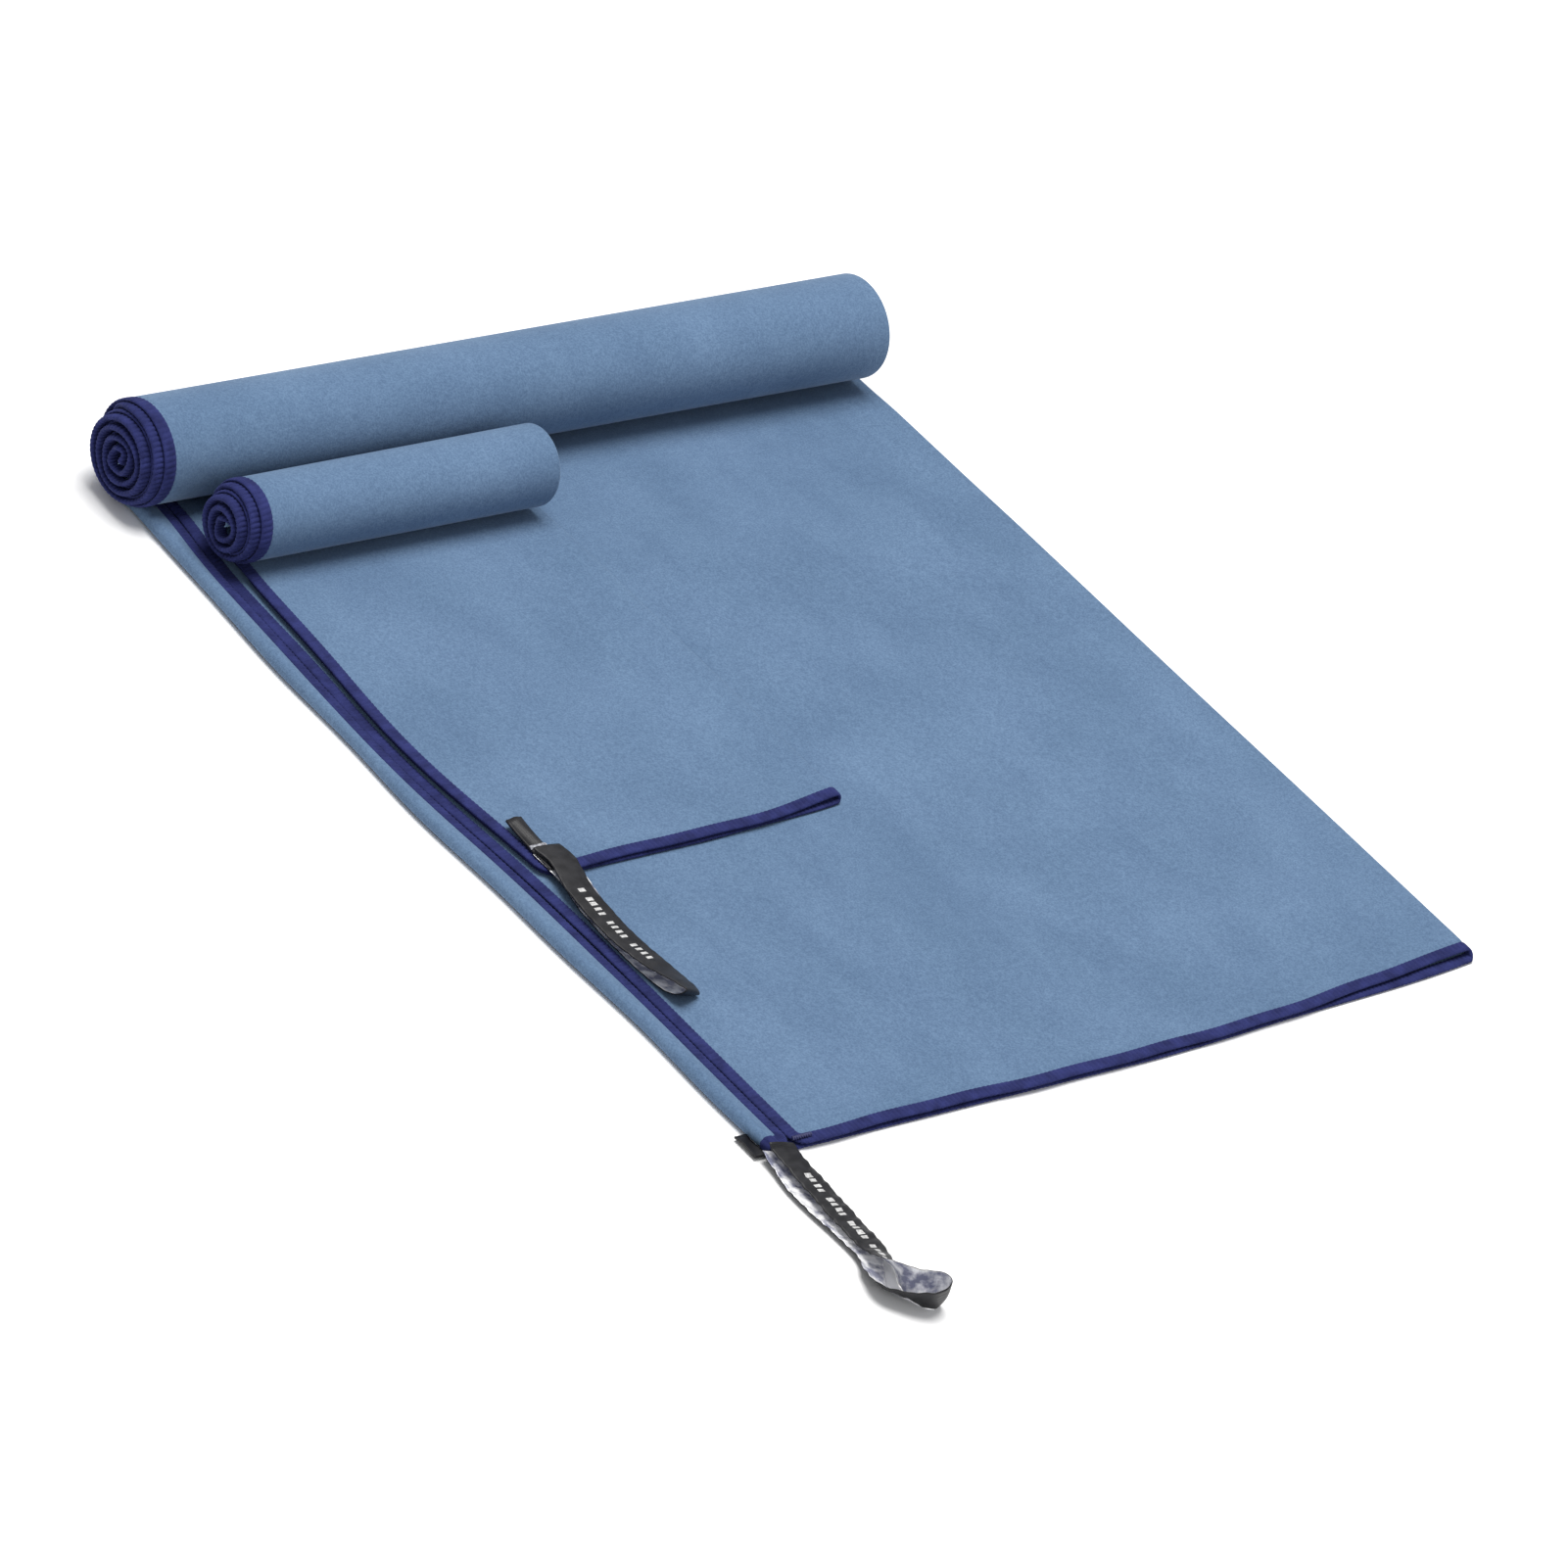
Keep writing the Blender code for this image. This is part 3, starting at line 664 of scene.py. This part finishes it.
# ------------------------------------------------------------------ build the set
# the ribbons' lines, from where they are sewn in: x, y, z of one edge, lean and its heading
LARGE_LOOP_LINE = (
    (0.0062, 0.0000, 0.0046, 76, 0), (0.0068, -0.0060, 0.0026, 78, 0),
    (0.0062, -0.0300, 0.0016, 80, 0), (0.0048, -0.0500, 0.0016, 80, 0),
    (0.0036, -0.0687, 0.0016, 76, 0), (0.0000, -0.0800, 0.0010, 52, 0),
    (-0.0045, -0.0885, 0.0004, 24, 10), (-0.0046, -0.0950, 0.0002, 8, 30),
    (0.0000, -0.0998, 0.0000, 0, 60), (0.0046, -0.1018, 0.0000, 4, 70),
    (0.0040, -0.1056, 0.0000, 14, 70), (-0.0020, -0.1057, 0.0000, 27, 50),
    (-0.0069, -0.0975, 0.0000, 45, 38), (-0.0105, -0.0888, 0.0000, 56, 20),
    (-0.0045, -0.0780, 0.0000, 70, 5), (0.0015, -0.0660, 0.0000, 80, 0),
    (0.0005, -0.0282, 0.0000, 82, 0), (0.0030, -0.0080, 0.0004, 80, 0),
    (0.0036, 0.0000, 0.0014, 76, 0))
SMALL_LOOP_LINE = (
    (0.0130, 0.0130, 0.0062, 86, 0), (0.0146, 0.0040, 0.0058, 86, 0),
    (0.0134, -0.0040, 0.0048, 85, 0), (0.0108, -0.0162, 0.0038, 84, 0),
    (0.0092, -0.0442, 0.0032, 84, 0), (0.0104, -0.0652, 0.0034, 80, 6),
    (0.0122, -0.0840, 0.0034, 66, 14), (0.0126, -0.0890, 0.0018, 60, 16),
    (0.0124, -0.0850, 0.0004, 76, 8), (0.0124, -0.0720, 0.0002, 87, 0),
    (0.0118, -0.0480, 0.0002, 88, 0), (0.0126, -0.0250, 0.0006, 88, 0),
    (0.0136, -0.0060, 0.0034, 88, 0), (0.0130, 0.0120, 0.0040, 88, 0))


def placed(line, node, above):
    """A ribbon's line moved to where its CAD node is sewn in, some way above its underside."""
    low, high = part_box(node)
    x, y, z = 0.5 * (low.x + high.x), high.y, low.z + above
    return [(x + dx, y + dy, z + dz, lean, heading) for dx, dy, dz, lean, heading in line]


large = Towel("large", turns=4.95, bow=LARGE_BOW, skew=0.0145, curled=True, drift=0.0070,
              set_back=0.0065, hem_wave=[(-0.0065, 0.046, 0.075), (0.0080, 0.232, 0.038)],
              slit=0.0016, oval=1.09)
small = Towel("small", turns=3.72, bow=0.006, skew=0.004, curled=False, drift=0.0075,
              set_back=0.0030, hem_wave=[(-0.0092, 0.046, 0.080), (0.0020, 0.190, 0.020)],
              slit=0.0014, oval=1.06)
made = {towel.name: towel.build() for towel in (large, small)}
loops = {"large": ribbon("large_loop", placed(LARGE_LOOP_LINE, "large_loop_ribbon", 0.0004),
                         (0.08, 0.34), 0.00030),
         "small": ribbon("small_loop", placed(SMALL_LOOP_LINE, "small_loop_ribbon", 0.0),
                         (0.14, 0.40), 0.00012)}
tails = {"large": tab("large_tail", *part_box("large_loop_tail"), 0.0010, "-x"),
         "small": tab("small_tail", *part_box("small_loop_tail"), 0.0030, "+y")}
tacks = {"large": bar_tack("large_tack", *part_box("large_bar_tack"), TACK_NAVY, 16),
         "small": bar_tack("small_tack", *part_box("small_bar_tack"), TACK, 20)}

for towel in (large, small):
    name = towel.name
    body, loop_body = f"{name}_towel", f"{name}_loop"
    cloth, hem = made[name]
    for piece in (cloth, hem, tails[name], tacks[name]):
        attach(piece, body)
    loop, ribbon_length = loops[name]
    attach(loop, loop_body)
    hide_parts(f"{name}_cloth_flat", f"{name}_cloth_roll")
    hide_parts(*[f"{name}_hem_{part}" for part in (
        "upper_side_flat", "lower_side_flat", "upper_side_roll", "lower_side_roll",
        "near_end", "far_end")])
    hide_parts(f"{name}_loop_ribbon")
    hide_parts(f"{name}_loop_tail")
    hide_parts(f"{name}_bar_tack")
    flat_width = float(towel.width(np.array(-0.5 * towel.flat_length)))

# ------------------------------------------------------------------ floor, light and camera
floor_material = bpy.data.materials.new("white_floor")
floor_material.use_nodes = True
floor_shader = floor_material.node_tree.nodes["Principled BSDF"]
floor_shader.inputs["Base Color"].default_value = (0.94, 0.94, 0.945, 1.0)
floor_shader.inputs["Roughness"].default_value = 0.95
floor_shader.inputs["Specular IOR Level"].default_value = 0.1
FLOOR_HALF = 12.0           # half the floor's side
floor_points = [(x, y, cad_box[0].z - FLOOR_GAP) for x, y in (
    (-FLOOR_HALF, -FLOOR_HALF), (FLOOR_HALF, -FLOOR_HALF), (FLOOR_HALF, FLOOR_HALF),
    (-FLOOR_HALF, FLOOR_HALF))]
floor = make_mesh("floor", floor_points, [(0, 1, 2, 3)], [floor_material])

scene = bpy.context.scene
scene.view_settings.view_transform = "Standard"
world = bpy.data.worlds.new("studio")
scene.world = world
world.use_nodes = True
background = world.node_tree.nodes["Background"]
background.inputs["Color"].default_value = (0.97, 0.98, 1.0, 1.0)
background.inputs["Strength"].default_value = 0.43


def add_light(name, place, target, size, power, colour):
    data = bpy.data.lights.new(name, "AREA")
    data.shape = "DISK"
    data.size = size
    data.energy = power
    data.color = colour
    obj = bpy.data.objects.new(name, data)
    obj.location = place
    direction = Vector(target) - Vector(place)
    obj.rotation_mode = "QUATERNION"
    obj.rotation_quaternion = direction.to_track_quat("-Z", "Y")
    scene.collection.objects.link(obj)


add_light("key", (0.05, 0.25, 2.7), (0.0, 0.0, 0.0), 1.9, 92.0, (1.0, 0.99, 0.97))
add_light("fill", (-1.2, -2.1, 1.6), (0.0, 0.0, 0.0), 1.6, 9.0, (0.96, 0.98, 1.0))

# the lens looks down at the near left corner, turned a little about its own axis
AZIMUTH, ELEVATION, ROLL = math.radians(-49.72), math.radians(33.38), math.radians(18.91)
DISTANCE = 6.471
LENS, SENSOR = 354.3, 36.0
AIM = Vector((0.0, -0.2289, 0.0))
AIM_RIGHT, AIM_UP = 0.1503, -0.1142     # where the aimed point stands in the view, in metres

back = Vector((math.sin(AZIMUTH) * math.cos(ELEVATION),
               -math.cos(AZIMUTH) * math.cos(ELEVATION), math.sin(ELEVATION)))
level_right = Vector((math.cos(AZIMUTH), math.sin(AZIMUTH), 0.0))
level_up = back.cross(level_right)
right = level_right * math.cos(ROLL) + level_up * math.sin(ROLL)
up = level_up * math.cos(ROLL) - level_right * math.sin(ROLL)
look_back = (back + right * (AIM_RIGHT / DISTANCE) + up * (AIM_UP / DISTANCE)).normalized()
right = (right - look_back * right.dot(look_back)).normalized()
up = look_back.cross(right)

camera_data = bpy.data.cameras.new("camera")
camera_data.lens = LENS
camera_data.sensor_width = SENSOR
camera_data.clip_start, camera_data.clip_end = 0.1, 60.0
camera = bpy.data.objects.new("camera", camera_data)
camera.matrix_world = Matrix.Translation(AIM + back * DISTANCE) @ Matrix(
    (right, up, look_back)).transposed().to_4x4()
scene.collection.objects.link(camera)
scene.camera = camera
